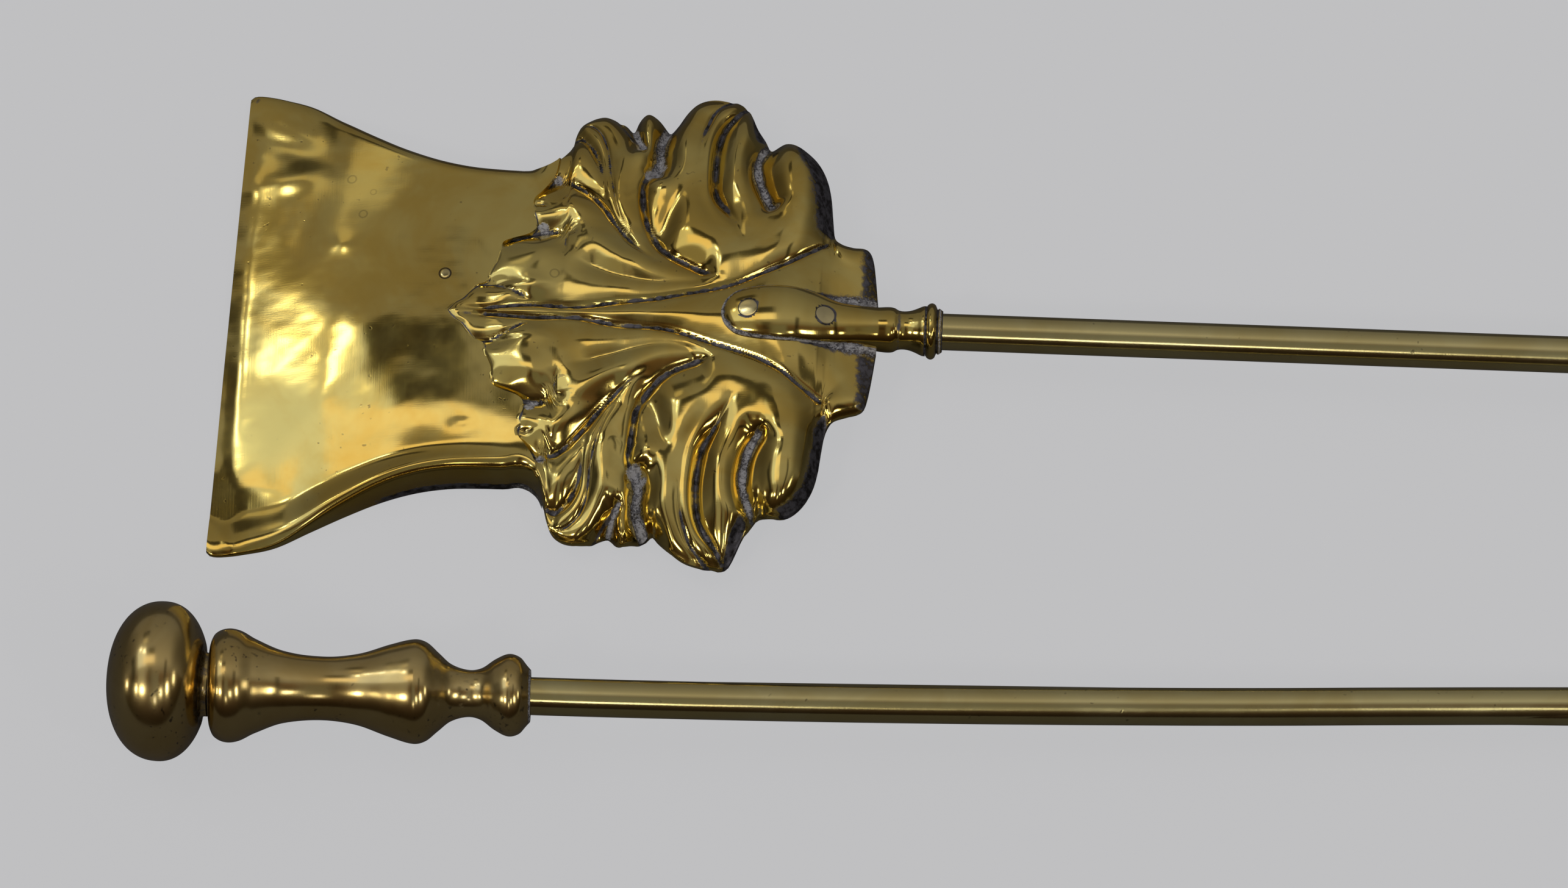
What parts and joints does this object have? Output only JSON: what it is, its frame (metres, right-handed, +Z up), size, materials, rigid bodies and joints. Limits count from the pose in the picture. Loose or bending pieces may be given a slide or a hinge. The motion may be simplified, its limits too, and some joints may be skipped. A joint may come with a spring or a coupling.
{
  "type": "fireplace tool set",
  "caption": "Brass fire shovel with a flared scoop and an acanthus leaf back, lying face down, and a matching poker with a turned handle and bun-shaped knob beside it.",
  "frame": {"origin": "centre of the set's footprint, on the surface that both tools lie on", "axes": "+X runs along the shafts, from the shovel's pan and the poker's knob to the shovel's knob and the poker's point; +Y from the poker to the shovel; +Z up from the surface"},
  "size_m": [0.7422, 0.2282, 0.0462],
  "materials": {
    "pan_brass": "polished cast brass with fine scratches, dents and dark tarnish in the recesses",
    "plug_brass": "polished, a shade paler than the floor",
    "socket_brass": "polished cast brass, worn",
    "rivet_brass": "polished flush, with a dark outline",
    "tube_brass": "drawn tube, polished lengthwise, with a brazed seam",
    "core_iron": "dark forged iron",
    "handle_brass": "polished casting with small pits",
    "pin_iron": "dark iron",
    "point_iron": "dark burnished iron"
  },
  "bodies": {
    "shovel": {"shovel_pan": "pan_brass", "floor_plug": "plug_brass", "shovel_socket": "socket_brass", "rivet_front": "rivet_brass", "rivet_rear": "rivet_brass", "socket_ring": "socket_brass", "shovel_tube": "tube_brass", "shovel_core": "core_iron", "shovel_grip": "handle_brass", "shovel_knob": "handle_brass", "shovel_pin": "pin_iron"},
    "poker": {"poker_knob": "handle_brass", "poker_grip": "handle_brass", "poker_pin": "pin_iron", "poker_tube": "tube_brass", "poker_core": "point_iron", "poker_collar": "socket_brass"}
  },
  "joints": [
    {"name": "poker_lift", "type": "slide", "parent": "shovel", "child": "poker", "axis": [0, 0, 1], "range_m": [0, 0.25]}
  ]
}
